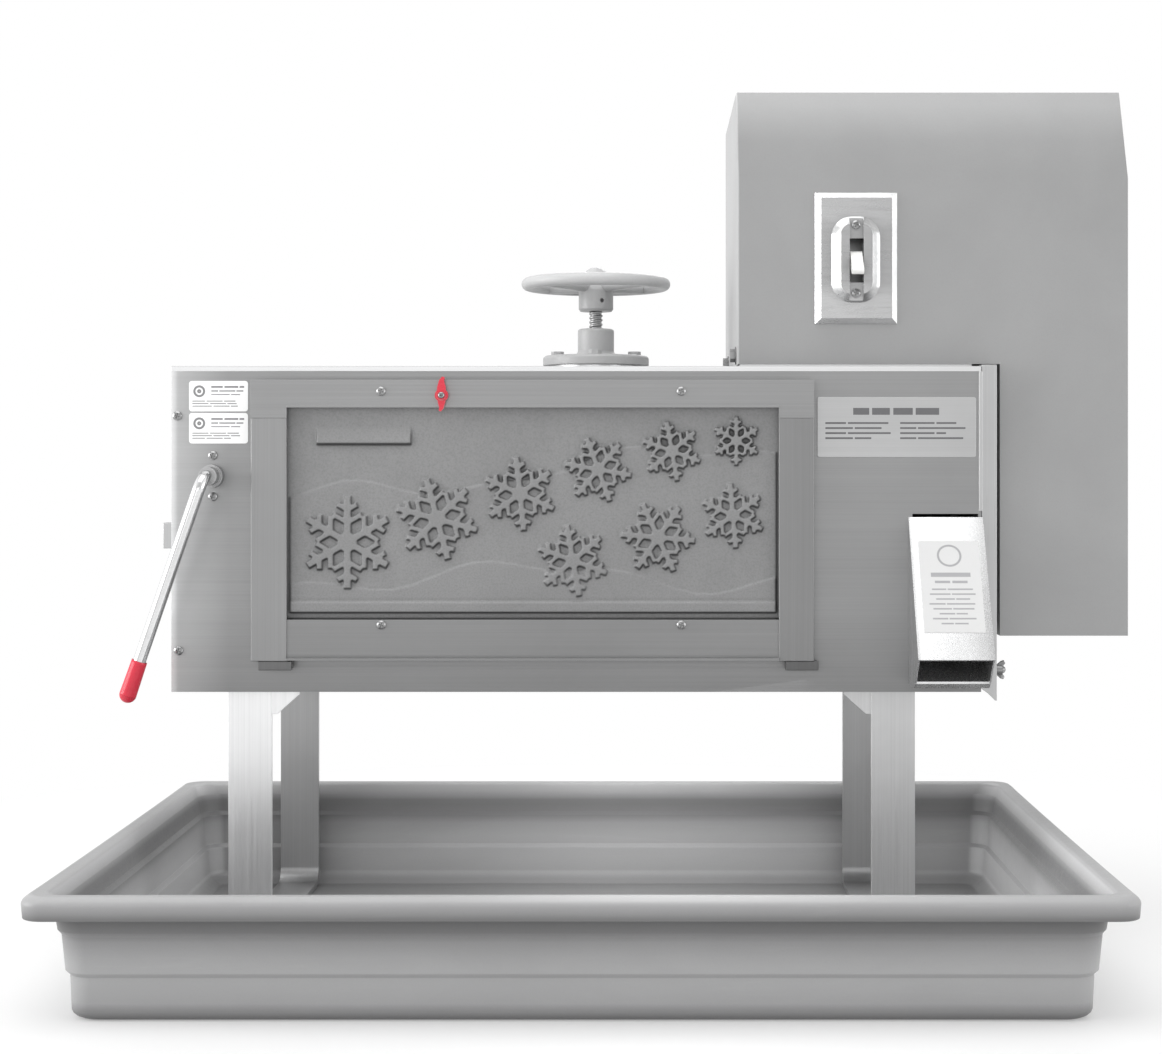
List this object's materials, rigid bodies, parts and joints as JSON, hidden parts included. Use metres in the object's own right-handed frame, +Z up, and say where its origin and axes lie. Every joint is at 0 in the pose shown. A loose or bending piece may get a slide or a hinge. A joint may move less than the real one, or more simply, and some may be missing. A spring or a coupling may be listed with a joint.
{
  "type": "ice shaver",
  "caption": "Block ice shaver: sheet steel cabinet on legs in a drip tray, lift door, feed lever, clamp handwheel, discharge chute and raised belt and motor housing.",
  "frame": {"origin": "centre of the drip tray underside, on the counter", "axes": "+X towards the chute and motor end, +Y to the back, +Z up"},
  "size_m": [0.9, 0.579, 0.761],
  "materials": {
    "stainless_sheet": "brushed stainless sheet, satin",
    "chute_sheet": "bright polished sheet",
    "tray_plastic": "grey moulded plastic, fine texture",
    "cast_aluminium": "sand cast, matt",
    "grey_paint": "grey hammered enamel on castings",
    "housing_paint": "satin grey coated sheet",
    "fasteners": "zinc or stainless fasteners",
    "chromed": "bright plated",
    "steel_parts": "machined steel",
    "cast_iron": "painted cast iron",
    "motor_paint": "grey motor enamel",
    "white_nylon": "natural nylon",
    "red_vinyl": "red dipped vinyl",
    "red_paint": "red enamel",
    "white_plastic": "moulded white plastic",
    "label_vinyl": "printed vinyl label",
    "black_rubber": "black rubber"
  },
  "bodies": {
    "frame": {"drip_tray": "tray_plastic", "cabinet_floor": "stainless_sheet", "cabinet_back": "stainless_sheet", "cabinet_left_wall": "stainless_sheet", "cabinet_right_wall": "stainless_sheet", "cabinet_top": "stainless_sheet", "front_panel": "stainless_sheet", "door_guide_left": "stainless_sheet", "door_guide_right": "stainless_sheet", "door_top_strip": "stainless_sheet", "door_sill": "stainless_sheet", "frame_screws": "fasteners", "floor_rails": "white_nylon", "end_plate": "stainless_sheet", "leg_frame_left": "stainless_sheet", "leg_frame_right": "stainless_sheet", "leg_bolts": "fasteners", "lever_bearings": "steel_parts", "lever_bearing_screws": "fasteners", "return_spring": "steel_parts", "clamp_flange": "grey_paint", "flange_bolts": "fasteners", "cutter_casing": "cast_aluminium", "cutter_bearings": "cast_iron", "bearing_bolts": "fasteners", "discharge_chute": "chute_sheet", "labels": "label_vinyl", "info_plate": "stainless_sheet", "wing_screw": "fasteners", "motor_mount_plate": "stainless_sheet", "motor_body": "motor_paint", "motor_end_bells": "motor_paint", "motor_bolts": "fasteners", "drive_belt": "black_rubber", "belt_housing": "housing_paint", "housing_bolts": "fasteners", "switch_plate": "chromed", "switch_box": "steel_parts", "switch_screws": "fasteners", "power_cord": "black_rubber", "cord_grommet": "black_rubber"},
    "door": {"door_panel": "cast_aluminium"},
    "latch": {"door_latch": "red_paint"},
    "lever": {"feed_lever": "chromed", "lever_grip": "red_vinyl", "lever_shaft": "steel_parts", "pusher_arm": "steel_parts", "arm_shoe": "white_nylon"},
    "pusher": {"pusher_plate": "steel_parts", "pusher_spikes": "steel_parts"},
    "clamp": {"clamp_plate": "steel_parts"},
    "clamp_wheel": {"handwheel": "grey_paint", "clamp_screw": "steel_parts"},
    "cutter": {"cutter_disc": "steel_parts", "cutter_blades": "steel_parts", "cutter_shaft": "steel_parts", "cutter_pulley": "cast_iron"},
    "rotor": {"motor_shaft": "steel_parts", "motor_pulley": "cast_iron"},
    "toggle": {"switch_toggle": "white_plastic"}
  },
  "joints": [
    {"name": "door_lift", "type": "slide", "parent": "frame", "child": "door", "axis": [0, 0, 1], "range_m": [0, 0.175]},
    {"name": "latch_turn", "type": "hinge", "parent": "frame", "child": "latch", "pos_m": [-0.1274, -0.047, 0.4854], "axis": [0, 1, 0], "range_deg": [0, 90]},
    {"name": "lever_swing", "type": "hinge", "parent": "frame", "child": "lever", "pos_m": [-0.3286, 0, 0.4154], "axis": [0, -1, 0], "range_deg": [0, 60]},
    {"name": "pusher_feed", "type": "slide", "parent": "frame", "child": "pusher", "axis": [1, 0, 0], "range_m": [0, 0.1375]},
    {"name": "clamp_lift", "type": "slide", "parent": "frame", "child": "clamp", "axis": [0, 0, 1], "range_m": [-0.016, 0.012]},
    {"name": "wheel_turn", "type": "hinge", "parent": "clamp", "child": "clamp_wheel", "pos_m": [0.0025, 0.11, 0.595], "axis": [0, 0, 1], "range_deg": [-1440, 1080]},
    {"name": "cutter_spin", "type": "hinge", "parent": "frame", "child": "cutter", "pos_m": [0.3, 0.115, 0.368], "axis": [1, 0, 0], "continuous": true},
    {"name": "rotor_spin", "type": "hinge", "parent": "frame", "child": "rotor", "pos_m": [0.4, 0.115, 0.618], "axis": [1, 0, 0], "continuous": true},
    {"name": "switch_throw", "type": "hinge", "parent": "frame", "child": "toggle", "pos_m": [0.2346, -0.0135, 0.607], "axis": [-1, 0, 0], "range_deg": [0, 48]}
  ],
  "couplings": [
    {"joint": "pusher_feed", "follows": "lever_swing", "m_per_rad": 0.131},
    {"joint": "clamp_lift", "follows": "wheel_turn", "m_per_rad": 0.00063662},
    {"joint": "rotor_spin", "follows": "cutter_spin", "ratio": 2}
  ]
}
